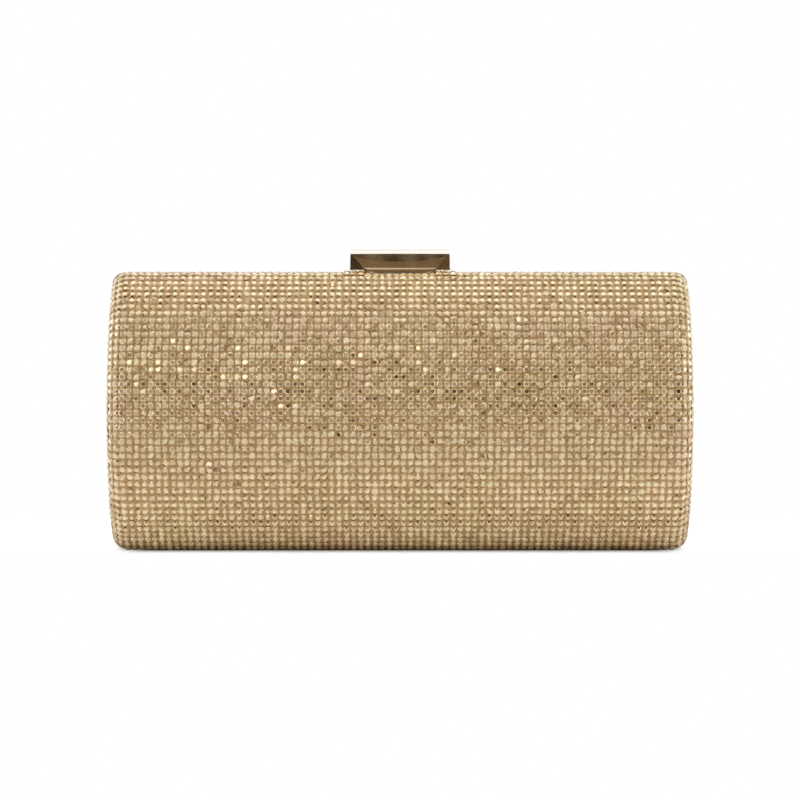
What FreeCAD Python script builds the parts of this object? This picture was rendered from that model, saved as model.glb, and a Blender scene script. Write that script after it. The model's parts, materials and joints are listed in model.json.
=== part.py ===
# Evening clutch: a crystal-covered hard case in two hinged halves, with plated rims, lining and bar clasp.
# Millimetres and degrees. X runs along the width, the front faces -Y and Z rises from the base.
import FreeCAD, Part
import functools
import math
import os

Vector = FreeCAD.Vector

# Closed case
body_width = 212.0
body_height = 101.0
body_depth = 54.0

# Side profile of a half: a face arc, a shoulder arc and a rim corner, met at these leans from the vertical
face_lean = 14.0
shoulder_lean = 50.0
inner_corner_radius = 1.0
end_bulge = 1.4
edge_radius = 4.6
least_edge_radius = 0.5

# Layers of the wall from the outside in
mesh_thickness = 1.5
shell_thickness = 1.6
card_thickness = 0.6
satin_thickness = 0.3
glue_gap = 0.05

# Plated channel rim that grips the edge of each half
parting_gap = 0.3
rim_setback = 0.2
rim_web = 1.6
rim_lip = 1.0
outer_lip_reach = 3.6
inner_lip_reach = 6.0
channel_clearance = 0.4

# Two butt hinges in the base
hinge_length = 24.0
hinge_spacing = 120.0
hinge_floor_gap = 0.1
knuckle_count = 5
knuckle_gap = 0.2
knuckle_radius = 1.0
hinge_pin_radius = 0.5
running_clearance = 0.05
relief_clearance = 0.25
leaf_thickness = 0.6
leaf_edge = 0.25
mortise_clearance = 0.05
open_angle = 100.0
groove_margin = 3.0
hinge_rivet_radius = 0.4
hinge_rivet_edge = 5.0
rivet_tail_radius = 0.7
rivet_tail_height = 0.25
rivet_tail_play = 0.05
rivet_clearance = 0.02

# Bar clasp on the back half
bar_height = 7.4
bar_lift = 0.75
bar_heel = 0.25
bar_ledge_rise = 0.55
bar_side_ledge = 0.13
bar_side_setback = 0.1
bar_side_bulge = 0.03
bar_side_bevel = 3.6
bar_end_ledge = 0.15
bar_end_setback = 0.1
bar_end_bulge = 0.05
bar_end_bevel = 0.35
bar_bevel_drop = 1.3
bar_hollow_radius = 1100.0
bar_hollow_rise = 2.6
bar_hollow_lean = 5.5
bar_corner_length = 4.6
bar_corner_depth = 0.5
corner_spread_share = 3.0
bar_crown = 0.25
bar_side_wall = 1.6
bar_end_wall = 3.25
bar_roof = 1.5
lip_drop = 0.65
lip_thickness = 0.9
lip_setback = 0.4
clasp_pin_radius = 0.75
clasp_pin_rise = 2.25
clasp_pin_short = 0.15
lug_radius = 1.4
lug_width = 2.0
lug_edge = 1.75
lug_gap = 0.9
neck_length = 26.5
neck_play = 1.75
neck_front = 0.4
neck_heel = 0.1
neck_gap = 0.1
screw_radius = 0.6
screw_head_radius = 1.2
screw_head_height = 0.6
spring_width = 8.0
spring_thickness = 0.3
spring_gap = 0.1

# Spring catch on the front half
catch_inset = 0.7
catch_margin = 0.2
catch_leaf_edge = 1.25
catch_leaf_thickness = 0.35
catch_foot = 1.3
catch_slope = 0.3
catch_gap = 0.3
catch_crest_width = 0.3
catch_crest_rise = 0.65
catch_fall = 0.1
catch_flat_margin = 0.2
notch_depth = 0.6
notch_clearance = 0.2
catch_rivet_edge = 1.3
catch_rivet_play = 0.3
catch_rivet_setback = 0.7
catch_rivet_radius = 0.6
catch_head_radius = 0.9
catch_head_height = 0.3

# Slip pocket on the back lining
pocket_side = 36.0
pocket_low = 16.0
pocket_drop = 37.0
pocket_thickness = 0.4
binding_height = 5.0
binding_thickness = 0.4

# Eyes for a drop-in chain, inside the ends of the back rim
eye_drop = 23.0
eye_radius = 3.2
eye_hole_radius = 2.0
eye_thickness = 1.6
eye_root_height = 4.0
eye_reach = 3.6

# Depths of the layers below the outer surface
shell_outer = mesh_thickness + glue_gap
shell_inner = shell_outer + shell_thickness
card_outer = shell_inner + glue_gap
card_inner = card_outer + card_thickness
satin_outer = card_inner + glue_gap
satin_inner = satin_outer + satin_thickness
lip_outer = satin_inner + glue_gap
rim_inner = lip_outer + rim_lip
pocket_outer = satin_inner + glue_gap
pocket_inner = pocket_outer + pocket_thickness
binding_outer = pocket_inner + glue_gap
binding_inner = binding_outer + binding_thickness

# Places that several pieces share
half_gap = parting_gap / 2
web_back = half_gap + rim_web
channel_floor = web_back + channel_clearance
hinge_axis = rim_setback + knuckle_radius + hinge_floor_gap
leaf_low = hinge_axis + knuckle_radius + knuckle_gap
leaf_high = rim_inner - leaf_edge
rim_top = body_height - rim_setback
bar_bottom = body_height + bar_lift
bar_foot = bar_bottom + bar_heel
bar_ledge = bar_foot + bar_ledge_rise
bar_edge = bar_bottom + bar_height - bar_crown
bar_shoulder = bar_edge - bar_bevel_drop
bar_ceiling = bar_edge - bar_roof
catch_top = body_height - catch_inset

# Steps forward from the rim's outer lip, over the catch to the front of the bar
catch_end = outer_lip_reach + catch_margin
crest_back = catch_end + catch_fall
crest_front = crest_back + catch_crest_width
crest_foot = crest_front + catch_slope
lip_back = crest_foot + catch_leaf_thickness + catch_gap
lip_front = lip_back + lip_thickness
bar_depth = 2 * (lip_front + lip_setback)
catch_front = lip_front + catch_foot
plate_front = catch_front + catch_margin
rim_flat = plate_front + catch_flat_margin

# Steps along the width from the neck to the rest of the clasp and the catch
bar_length = neck_length + 2 * (neck_play + bar_end_wall)
lug_spacing = neck_length - 2 * lug_edge - lug_width
screw_spacing = (spring_width + lug_spacing - lug_width) / 2
catch_leaf_length = neck_length - 2 * catch_leaf_edge
catch_rivet_spacing = catch_leaf_length - 2 * catch_rivet_edge
lip_length = catch_rivet_spacing - 2 * (catch_head_radius + catch_rivet_play)

# Steps forward from the back wall of the bar to its pin
well_back = bar_depth / 2 - bar_side_wall
clasp_pin_back = well_back - lug_gap - lug_radius
clasp_pin_height = bar_bottom + clasp_pin_rise
neck_back = clasp_pin_back + lug_radius + neck_heel
screw_back = (half_gap + outer_lip_reach) / 2

# Arcs of the profile that span the height, and the depth outside the flat top and base
rim_corner_radius = inner_corner_radius + max(rim_inner, binding_inner)
face_sine = math.sin(math.radians(face_lean))
face_cosine = math.cos(math.radians(face_lean))
shoulder_sine = math.sin(math.radians(shoulder_lean))
shoulder_cosine = math.cos(math.radians(shoulder_lean))
arc_rise = body_height / 2 - rim_corner_radius * (1 - shoulder_sine)
arc_run = body_depth / 2 - rim_flat - rim_corner_radius * shoulder_cosine
spread = face_sine * (face_cosine - shoulder_cosine) - (shoulder_sine - face_sine) * (1 - face_cosine)
face_radius = (arc_rise * (face_cosine - shoulder_cosine) - arc_run * (shoulder_sine - face_sine)) / spread
shoulder_radius = (arc_run * face_sine - arc_rise * (1 - face_cosine)) / spread
end_radius = (body_height**2 / 4 + end_bulge**2) / (2 * end_bulge)

# Eyes, pocket and hinge rivets
eye_height = body_height - eye_drop
pocket_high = body_height - pocket_drop
pocket_half = body_width / 2 - pocket_side
hinge_rivet_spacing = hinge_length - 2 * hinge_rivet_edge
hinge_rivet_height = lip_outer - rivet_tail_radius - rivet_tail_play

along = Vector(1, 0, 0)
across = Vector(0, 1, 0)
up = Vector(0, 0, 1)


def box(x_low, x_high, y_low, y_high, z_low, z_high):
    """Block between these limits."""
    return Part.makeBox(x_high - x_low, y_high - y_low, z_high - z_low, Vector(x_low, y_low, z_low))


def rod(start, end, radius):
    """Round bar from start to end."""
    run = end - start
    return Part.makeCylinder(radius, run.Length, start, run)


def prism(outline, x_low, x_high):
    """Block whose section across X is the outline of (y, z) points."""
    corners = [Vector(x_low, y, z) for y, z in outline]
    face = Part.Face(Part.makePolygon(corners + corners[:1]))
    return face.extrude(along * (x_high - x_low))


def bent_strip(points, thickness, x_low, x_high):
    """Strip of even thickness bent along (y, z) points, on the left of their run."""
    normals = []
    for (y_from, z_from), (y_to, z_to) in zip(points, points[1:]):
        run = math.hypot(y_to - y_from, z_to - z_from)
        normals.append(((z_from - z_to) / run, (y_to - y_from) / run))
    other_side = []
    for place, (y, z) in enumerate(points):
        before = normals[max(place - 1, 0)]
        after = normals[min(place, len(normals) - 1)]
        shift = thickness / (1 + before[0] * after[0] + before[1] * after[1])
        other_side.append((y + shift * (before[0] + after[0]), z + shift * (before[1] + after[1])))
    return prism(points + other_side[::-1], x_low, x_high)


def mirrored(shape):
    """The same shape on the other side of the parting plane."""
    return shape.mirror(Vector(), across)


def front_point(lean, inset):
    """Point of the front profile where the surface leans back this much; negative below mid-height."""
    y = face_radius - body_depth / 2
    rise = 0
    radius = face_radius
    for start, next_radius in ((face_lean, shoulder_radius), (shoulder_lean, rim_corner_radius)):
        if abs(lean) > start:
            y -= (radius - next_radius) * math.cos(math.radians(start))
            rise += (radius - next_radius) * math.sin(math.radians(start))
            radius = next_radius
    y -= (radius - inset) * math.cos(math.radians(lean))
    rise += (radius - inset) * math.sin(math.radians(abs(lean)))
    return Vector(-body_width, y, body_height / 2 + math.copysign(rise, lean))


def profile(inset):
    """Face across X that the case has between its ends."""
    leans = [90, shoulder_lean, face_lean, -face_lean, -shoulder_lean, -90]
    front = []
    for start, end in zip(leans, leans[1:]):
        ends = [front_point(lean, inset) for lean in (start, (start + end) / 2, end)]
        front.append(Part.Arc(*ends).toShape())
    back = [mirrored(edge) for edge in front]
    flats = []
    for lean in (leans[0], leans[-1]):
        corner = front_point(lean, inset)
        flats.append(Part.makeLine(corner, Vector(corner.x, -corner.y, corner.z)))
    return Part.Face(Part.Wire(Part.__sortEdges__(front + back + flats)))


@functools.lru_cache(maxsize=None)
def case(inset):
    """Closed case as one block, drawn in all round by inset."""
    block = profile(inset).extrude(along * (2 * body_width))
    for side in (-1, 1):
        centre = Vector(side * (body_width / 2 - end_radius), -body_depth, body_height / 2)
        block = block.common(rod(centre, centre + across * (2 * body_depth), end_radius - inset))
    ends = [edge for edge in block.Edges if edge.BoundBox.XLength < body_width / 2]
    return block.makeFillet(max(edge_radius - inset, least_edge_radius), ends)


def layer(outer, inner, near, far):
    """Wall of the front half between two depths, from near to far in front of the parting plane."""
    wall = case(outer).cut(case(inner))
    return wall.common(box(-body_width, body_width, -far, -near, -body_height, 2 * body_height))


def rim():
    """Channel of the front half before anything is fitted to it."""
    web = layer(rim_setback, rim_inner, half_gap, web_back)
    outer_lip = layer(rim_setback, mesh_thickness, half_gap, outer_lip_reach)
    inner_lip = layer(lip_outer, rim_inner, half_gap, inner_lip_reach)
    channel = web.fuse([outer_lip, inner_lip]).removeSplitter()
    depth = 2 * hinge_axis
    groove_half = depth * math.tan(math.radians(open_angle / 2 + groove_margin))
    groove = [(0, hinge_axis), (-groove_half, hinge_axis - depth), (groove_half, hinge_axis - depth)]
    channel = channel.cut(prism(groove, -body_width, body_width))
    for centre in hinge_centres:
        low = centre - hinge_length / 2 - mortise_clearance
        high = centre + hinge_length / 2 + mortise_clearance
        mortise_back = half_gap + leaf_thickness + mortise_clearance
        relief_radius = knuckle_radius + relief_clearance
        relief = rod(Vector(low, 0, hinge_axis), Vector(high, 0, hinge_axis), relief_radius)
        mortise = box(low, high, -mortise_back, 0, hinge_axis, leaf_high + mortise_clearance)
        channel = channel.cut([relief, mortise])
        channel = channel.cut(hinge_rivets(centre, hinge_rivet_radius + rivet_clearance))
    return channel


def knuckle_spans(centre, first):
    """Stretches of X that every second knuckle of a hinge takes, counted from first."""
    pitch = (hinge_length + knuckle_gap) / knuckle_count
    start = centre - hinge_length / 2
    return [
        (start + place * pitch, start + (place + 1) * pitch - knuckle_gap)
        for place in range(first, knuckle_count, 2)
    ]


def hinge_rivets(centre, radius):
    """Two rivets that hold a leaf to the web of the front rim."""
    rivets = []
    for side in (-1, 1):
        head = Vector(centre + side * hinge_rivet_spacing / 2, -half_gap, hinge_rivet_height)
        rivets.append(rod(head, head - across * rim_web, radius))
    return rivets


def hinge_rivets_with_tails(centre):
    """The same rivets with their peened tails inside the channel."""
    whole = []
    for shank in hinge_rivets(centre, hinge_rivet_radius):
        tail_start = Vector(shank.BoundBox.Center.x, -web_back, hinge_rivet_height)
        tail = rod(tail_start, tail_start - across * rivet_tail_height, rivet_tail_radius)
        whole.append(shank.fuse(tail))
    return whole


def hinge_leaf(centre, first):
    """Leaf of the front half with its knuckles round the hinge axis."""
    leaf_back = half_gap + leaf_thickness
    low = centre - hinge_length / 2
    leaf = box(low, low + hinge_length, -leaf_back, -half_gap, leaf_low, leaf_high)
    for start, end in knuckle_spans(centre, first):
        barrel = rod(Vector(start, 0, hinge_axis), Vector(end, 0, hinge_axis), knuckle_radius)
        leaf = leaf.fuse([barrel, box(start, end, -leaf_back, -half_gap, hinge_axis, leaf_low)])
    leaf = leaf.cut(hinge_pin(centre, hinge_pin_radius + running_clearance))
    return leaf.cut(hinge_rivets(centre, hinge_rivet_radius + rivet_clearance)).removeSplitter()


def hinge_pin(centre, radius):
    """Pin through all the knuckles of a hinge."""
    start = Vector(centre - hinge_length / 2, 0, hinge_axis)
    return rod(start, start + along * hinge_length, radius)


def bar_section(half, ledge_run, setback, bulge, bevel_width, top, place):
    """Upright face with the outline of the bar: a ledge at the foot, curved sides, bevels and a crown."""
    bevel = bevel_width * (top - bar_shoulder) / bar_bevel_drop
    face = half - ledge_run
    feet = []
    crests = []
    edges = []
    for side in (-1, 1):
        feet.append(place(side * half, bar_bottom))
        crests.append(place(side * (face - setback - bevel), top))
        heel = place(side * half, bar_foot)
        ledge = place(side * face, bar_ledge)
        waist = place(side * (face - setback / 2 + bulge), (bar_ledge + bar_shoulder) / 2)
        brow = place(side * (face - setback), bar_shoulder)
        edges.append(Part.makeLine(feet[-1], heel))
        edges.append(Part.makeLine(heel, ledge))
        edges.append(Part.Arc(ledge, waist, brow).toShape())
        edges.append(Part.makeLine(brow, crests[-1]))
    edges.append(Part.makeLine(*feet))
    edges.append(Part.Arc(crests[0], place(0, top + bar_crown), crests[1]).toShape())
    return Part.Face(Part.Wire(Part.__sortEdges__(edges)))


def bar_hollow(side):
    """Wide cylinder that hollows the upper part of one long side of the bar."""
    lean = math.radians(bar_hollow_lean)
    outward = Vector(0, side * math.cos(lean), math.sin(lean))
    rising = Vector(0, -side * math.sin(lean), math.cos(lean))
    face = bar_depth / 2 - bar_side_ledge - bar_side_setback / 2
    centre = Vector(0, side * face, bar_ledge + bar_hollow_rise) + outward * bar_hollow_radius
    return rod(centre - rising * bar_height, centre + rising * bar_height, bar_hollow_radius)


def bar_corner(side_x, side_y):
    """Block outside the facet at one corner of the bar, which widens from the shoulder to the ledge."""
    end = bar_length / 2 - bar_end_ledge
    face = bar_depth / 2 - bar_side_ledge
    corners = [
        Vector(side_x * (end - bar_end_setback), side_y * (face - bar_side_setback), bar_shoulder),
        Vector(side_x * (end - bar_corner_length), side_y * face, bar_ledge),
        Vector(side_x * end, side_y * (face - bar_corner_depth), bar_ledge),
    ]
    middle = (corners[0] + corners[1] + corners[2]) / len(corners)
    spread = [middle + (corner - middle) * corner_spread_share for corner in corners]
    return Part.Face(Part.makePolygon(spread + spread[:1])).extrude(Vector(0, side_y * bar_depth, 0))


def bar_block():
    """Bar of the clasp before its well is cut, with its long sides hollowed and its corners faceted."""
    side_sizes = (bar_depth / 2, bar_side_ledge, bar_side_setback, bar_side_bulge, bar_side_bevel, bar_edge)
    end_top = bar_edge + bar_crown
    end_sizes = (bar_length / 2, bar_end_ledge, bar_end_setback, bar_end_bulge, bar_end_bevel, end_top)
    side_view = bar_section(*side_sizes, lambda y, z: Vector(-bar_length, y, z))
    front_view = bar_section(*end_sizes, lambda x, z: Vector(x, -bar_depth, z))
    block = side_view.extrude(along * (2 * bar_length)).common(front_view.extrude(across * (2 * bar_depth)))
    block = block.cut([bar_hollow(side) for side in (-1, 1)])
    return block.cut([bar_corner(side_x, side_y) for side_x in (-1, 1) for side_y in (-1, 1)])


def clasp_bar():
    """Hollow bar with a lip that hooks in front of the catch."""
    half_length = bar_length / 2
    bar = bar_block()
    lip_low = bar_bottom - lip_drop
    lip = box(-lip_length / 2, lip_length / 2, -lip_front, -lip_back, lip_low, bar_foot)
    well_end = half_length - bar_end_wall
    well = box(-well_end, well_end, -well_back, well_back, bar_bottom - bar_height, bar_ceiling)
    heel = box(-half_length, half_length, well_back, bar_depth, bar_bottom - bar_height, bar_ledge)
    bar = bar.fuse(lip).cut([well, heel])
    return bar.cut(clasp_pin(clasp_pin_radius + rivet_clearance)).removeSplitter()


def clasp_pin(radius):
    """Pin that the bar tilts on."""
    reach = bar_length / 2 - bar_end_ledge - bar_end_setback - clasp_pin_short
    middle = Vector(0, clasp_pin_back, clasp_pin_height)
    return rod(middle - along * reach, middle + along * reach, radius)


def clasp_base():
    """Neck on the back rim with two lugs for the pin."""
    half = neck_length / 2
    step = body_height + neck_gap
    base = box(-half, half, neck_front, outer_lip_reach, rim_top, step)
    base = base.fuse(box(-half, half, neck_front, neck_back, step, bar_bottom))
    for side in (-1, 1):
        centre = side * lug_spacing / 2
        low = centre - lug_width / 2
        high = centre + lug_width / 2
        eye = Vector(low, clasp_pin_back, clasp_pin_height)
        lug = rod(eye, eye + along * lug_width, lug_radius)
        leg_front = clasp_pin_back - lug_radius
        leg = box(low, high, leg_front, clasp_pin_back + lug_radius, step, clasp_pin_height)
        base = base.fuse([lug, leg])
    base = base.cut(clasp_pin(clasp_pin_radius + running_clearance))
    return base.cut(clasp_screws(rivet_clearance)).removeSplitter()


def clasp_screws(clearance):
    """Countersunk screws down through the neck into the back rim."""
    screws = []
    for side in (-1, 1):
        tip = Vector(side * screw_spacing / 2, screw_back, body_height - mesh_thickness)
        top = Vector(tip.x, tip.y, bar_bottom)
        head_low = top - up * screw_head_height
        shank_radius = screw_radius + clearance
        head = Part.makeCone(shank_radius, screw_head_radius + clearance, screw_head_height, head_low, up)
        screws.append(rod(tip, top, shank_radius).fuse(head).removeSplitter())
    return screws


def clasp_spring():
    """Bent leaf from the neck round behind the pin to the ceiling of the bar."""
    foot = bar_bottom + spring_gap
    heel = neck_back + spring_gap
    rise = bar_ceiling - spring_gap
    path = [
        (neck_front + spring_gap, foot),
        (heel, foot),
        (heel + spring_thickness, rise - 2 * spring_thickness),
        (clasp_pin_back, rise),
    ]
    return bent_strip(path, spring_thickness, -spring_width / 2, spring_width / 2)


def catch_plate():
    """Flat plate let into the mesh under the bar."""
    half = neck_length / 2
    low = body_height - mesh_thickness
    return box(-half, half, -plate_front, -outer_lip_reach - glue_gap, low, catch_top)


def catch_leaf():
    """Spring strip whose crest stands behind the lip of the bar."""
    foot = catch_top + glue_gap
    crest = body_height + catch_crest_rise
    path = [
        (-catch_front, foot),
        (-crest_foot, foot),
        (-crest_front, crest),
        (-crest_back, crest),
        (-catch_end, (foot + crest) / 2),
    ]
    return bent_strip(path, catch_leaf_thickness, -catch_leaf_length / 2, catch_leaf_length / 2)


def catch_rivets(clearance):
    """Rivets through the catch and the top of the front shell."""
    rivets = []
    head_low = catch_top + glue_gap + catch_leaf_thickness
    for side in (-1, 1):
        front = catch_front - catch_rivet_setback
        tail = Vector(side * catch_rivet_spacing / 2, -front, body_height - shell_inner)
        neck = Vector(tail.x, tail.y, head_low)
        head = rod(neck, neck + up * catch_head_height, catch_head_radius)
        rivets.append(rod(tail, neck, catch_rivet_radius + clearance).fuse(head))
    return rivets


def chain_eye(side, back_rim):
    """Flat eye on the inside of one end of the back rim."""
    low = web_back
    high = web_back + eye_thickness
    root = side * (body_width / 2)
    centre = side * (body_width / 2 - rim_inner - eye_reach)
    half_root = eye_root_height / 2
    disc = rod(Vector(centre, low, eye_height), Vector(centre, high, eye_height), eye_radius)
    strap_low = eye_height - half_root
    strap = box(min(root, centre), max(root, centre), low, high, strap_low, strap_low + eye_root_height)
    hole = rod(Vector(centre, 0, eye_height), Vector(centre, 2 * high, eye_height), eye_hole_radius)
    eye = disc.fuse(strap).removeSplitter().cut([hole, back_rim])
    return max(eye.common(case(rim_inner)).Solids, key=lambda solid: solid.Volume)


hinge_centres = [-hinge_spacing / 2, hinge_spacing / 2]
front_rim = rim()
back_rim = mirrored(front_rim).cut(clasp_screws(rivet_clearance))
front_mesh = layer(0, mesh_thickness, outer_lip_reach + glue_gap, body_depth)
front_shell = layer(shell_outer, shell_inner, channel_floor, body_depth)
front_card = layer(card_outer, card_inner, channel_floor, body_depth)
front_satin = layer(satin_outer, satin_inner, channel_floor, body_depth)
notch_half = neck_length / 2 + notch_clearance
notch_front = plate_front + notch_clearance
notch_well = box(-notch_half, notch_half, -notch_front, 0, body_height - shell_outer, 2 * body_height)
notch_brow = box(-notch_half, notch_half, -body_depth, 0, body_height - notch_depth, 2 * body_height)
pocket_space = box(-pocket_half, pocket_half, 0, body_depth, pocket_low, pocket_high)
binding_low = pocket_high - binding_height
binding_space = box(-pocket_half, pocket_half, 0, body_depth, binding_low, pocket_high)
pocket = mirrored(layer(pocket_outer, pocket_inner, inner_lip_reach, body_depth)).common(pocket_space)
binding = mirrored(layer(binding_outer, binding_inner, inner_lip_reach, body_depth)).common(binding_space)
catch_holes = catch_rivets(rivet_clearance)
front_rivets = hinge_rivets_with_tails(hinge_centres[0]) + hinge_rivets_with_tails(hinge_centres[1])

pieces = {
    "front_crystal_mesh": front_mesh.cut([notch_well, notch_brow]),
    "front_shell": front_shell.cut(catch_holes),
    "front_rim": front_rim,
    "front_lining_card": front_card,
    "front_lining_satin": front_satin,
    "front_hinge_leaf_left": hinge_leaf(hinge_centres[0], 1),
    "front_hinge_leaf_right": hinge_leaf(hinge_centres[1], 1),
    "front_hinge_rivets": Part.Compound(front_rivets),
    "catch_plate": catch_plate().cut(catch_holes),
    "catch_leaf": catch_leaf().cut(catch_holes),
    "catch_rivets": Part.Compound(catch_rivets(0)),
    "back_crystal_mesh": mirrored(front_mesh),
    "back_shell": mirrored(front_shell),
    "back_rim": back_rim,
    "back_lining_card": mirrored(front_card),
    "back_lining_satin": mirrored(front_satin),
    "slip_pocket": pocket,
    "pocket_binding": binding,
    "back_hinge_leaf_left": mirrored(hinge_leaf(hinge_centres[0], 0)),
    "back_hinge_leaf_right": mirrored(hinge_leaf(hinge_centres[1], 0)),
    "back_hinge_rivets": Part.Compound([mirrored(rivet) for rivet in front_rivets]),
    "hinge_pin_left": hinge_pin(hinge_centres[0], hinge_pin_radius),
    "hinge_pin_right": hinge_pin(hinge_centres[1], hinge_pin_radius),
    "chain_eye_left": chain_eye(-1, back_rim),
    "chain_eye_right": chain_eye(1, back_rim),
    "clasp_base": clasp_base(),
    "clasp_screws": Part.Compound(clasp_screws(0)),
    "clasp_spring": clasp_spring(),
    "clasp_bar": clasp_bar(),
    "clasp_pin": clasp_pin(clasp_pin_radius),
}

os.makedirs("parts", exist_ok=True)
for name, shape in pieces.items():
    print(name, "solids", len(shape.Solids), "valid", shape.isValid(), "volume", round(shape.Volume))
    shape.exportStep(f"parts/{name}.step")
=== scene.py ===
# %% [markdown]
# # A crystal evening clutch
# The case, its rims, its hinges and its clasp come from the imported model, which stays where it is.
# This lesson dresses that model: it sets thousands of cut stones on the case, sews in the lining,
# and gives every metal, cloth and board its own finish.

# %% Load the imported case
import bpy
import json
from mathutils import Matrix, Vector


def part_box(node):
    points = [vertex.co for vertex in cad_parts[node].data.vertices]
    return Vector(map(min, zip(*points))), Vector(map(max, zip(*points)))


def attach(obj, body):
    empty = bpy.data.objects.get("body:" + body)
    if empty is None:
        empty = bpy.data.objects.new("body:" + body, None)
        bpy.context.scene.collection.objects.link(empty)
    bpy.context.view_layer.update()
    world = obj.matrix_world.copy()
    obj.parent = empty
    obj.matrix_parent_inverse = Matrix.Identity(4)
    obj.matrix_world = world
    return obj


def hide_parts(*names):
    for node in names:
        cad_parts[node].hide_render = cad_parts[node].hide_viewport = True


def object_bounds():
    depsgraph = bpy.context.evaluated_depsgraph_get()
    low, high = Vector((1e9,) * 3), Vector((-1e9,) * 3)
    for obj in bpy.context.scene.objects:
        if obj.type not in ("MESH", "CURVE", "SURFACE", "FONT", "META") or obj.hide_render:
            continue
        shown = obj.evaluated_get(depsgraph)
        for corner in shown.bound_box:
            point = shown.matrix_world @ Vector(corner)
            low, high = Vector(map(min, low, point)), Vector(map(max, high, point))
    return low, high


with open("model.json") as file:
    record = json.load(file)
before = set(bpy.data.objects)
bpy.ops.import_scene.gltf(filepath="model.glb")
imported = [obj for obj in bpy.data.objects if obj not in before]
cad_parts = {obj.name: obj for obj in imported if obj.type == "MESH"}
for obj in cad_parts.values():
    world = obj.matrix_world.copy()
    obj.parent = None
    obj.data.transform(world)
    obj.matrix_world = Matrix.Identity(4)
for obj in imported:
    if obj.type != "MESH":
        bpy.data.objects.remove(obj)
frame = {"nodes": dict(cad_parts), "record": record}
cad_low, cad_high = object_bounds()
print("pieces in the frame:", len(frame["nodes"]), "and its size:", cad_high - cad_low)

# %% Modules and measures of the case
import json
import math
import random

import bmesh
import bpy
from mathutils import Matrix, Vector

halves = ((-1, "front"), (1, "back"))
skin_low, skin_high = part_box("front_crystal_mesh")
case_width = skin_high.x - skin_low.x
case_height = skin_high.z - skin_low.z
mid_height = (skin_high.z + skin_low.z) / 2
skin_edge = -skin_high.y
print("case", case_width, "wide and", case_height, "high; the skin starts", skin_edge, "from the parting")

# %% [markdown]
# ## The camera
# The photograph is a plain product view: the camera looks straight at the front from a little above, from
# far enough away that the ends hardly converge. The width of the case in the picture gives the scale, so
# the lens follows from the distance. A long lens and a large distance were chosen over a short lens,
# because the end panels do not show in the photograph.

# %% Place the camera
photo_px = 800
case_left_px = 105
case_right_px = 694
view_distance = 1.9
view_elevation = math.radians(2.0)
view_reach = 4 * view_distance
aim_height = 0.0552

picture_width = photo_px * case_width / (case_right_px - case_left_px)
camera_data = bpy.data.cameras.new("camera")
camera_data.lens = camera_data.sensor_width * view_distance / picture_width
camera_data.clip_end = view_reach
camera = bpy.data.objects.new("camera", camera_data)
bpy.context.collection.objects.link(camera)
away = Vector((0, -math.cos(view_elevation), math.sin(view_elevation)))
camera.location = Vector((0, skin_low.y, aim_height)) + away * view_distance
camera.rotation_euler = away.to_track_quat("Z", "Y").to_euler()
bpy.context.scene.camera = camera
bpy.context.scene.view_settings.view_transform = "Standard"
print("lens", round(camera_data.lens, 1), "mm")

# %% [markdown]
# ## The outline of the case
# Stones follow the skin, so the first thing to know is where the skin is. Seen from the side, the case is
# a row of arcs: a broad face, two shoulders and two tight corners, each tangent to the next. The leans at
# which they meet are repeated here from the model, and the radii follow from its size. Working from the
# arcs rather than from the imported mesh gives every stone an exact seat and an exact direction.

# %% Arcs of the side profile
face_lean = math.radians(14)
shoulder_lean = math.radians(50)
upright = math.radians(90)
full_turn = 2 * math.pi
corner_radius = 0.0062
flat_reach = 0.00775
lining_bend = 0.0046
stone_bend = 0.0060
end_bulge = 0.0014

rise = case_height / 2 - corner_radius * (1 - math.sin(shoulder_lean))
run = -skin_low.y - flat_reach - corner_radius * math.cos(shoulder_lean)
face_drop = 1 - math.cos(face_lean)
lean_step = math.sin(shoulder_lean) - math.sin(face_lean)
reach_step = math.cos(face_lean) - math.cos(shoulder_lean)
spread = math.sin(face_lean) * reach_step - lean_step * face_drop
face_radius = (rise * reach_step - run * lean_step) / spread
shoulder_radius = (run * math.sin(face_lean) - rise * face_drop) / spread
end_radius = (case_height**2 / 4 + end_bulge**2) / (2 * end_bulge)

arcs = []
centre_y = skin_low.y + face_radius
centre_rise = 0
radius = face_radius
for lean, next_lean, next_radius in (
    (0, face_lean, face_radius),
    (face_lean, shoulder_lean, shoulder_radius),
    (shoulder_lean, upright, corner_radius),
):
    centre_y -= (radius - next_radius) * math.cos(lean)
    centre_rise += (radius - next_radius) * math.sin(lean)
    radius = next_radius
    arcs.append((lean, next_lean, radius, centre_y, centre_rise))
arc_length = sum(radius * (end - start) for start, end, radius, _, _ in arcs)
print("radii", [round(arc[2], 4) for arc in arcs], "half profile", round(arc_length + flat_reach, 4))


# %% Seats on the skin
def profile_at(distance):
    """Front of the profile at this distance along it from mid-height, as y, z and lean."""
    left = abs(distance)
    for start, end, radius, y, rise in arcs:
        lean = start + left / radius
        if lean <= end:
            break
        left -= radius * (end - start)
    else:
        lean = upright
        y += left
    y -= radius * math.cos(lean)
    height = rise + radius * math.sin(lean)
    return y, mid_height + math.copysign(height, distance), math.copysign(lean, distance)


def depth_in_profile(y, z):
    """Depth of a point below the front of the profile."""
    height = abs(z - mid_height)
    for start, end, radius, centre_y, centre_rise in arcs:
        if math.atan2(height - centre_rise, centre_y - y) <= end:
            return radius - math.hypot(height - centre_rise, centre_y - y)
    return case_height / 2 - height


def end_at(z):
    """Half the width of the case at this height, where the ends bulge a little."""
    return case_width / 2 - end_radius + math.sqrt(end_radius**2 - (z - mid_height) ** 2)


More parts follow.
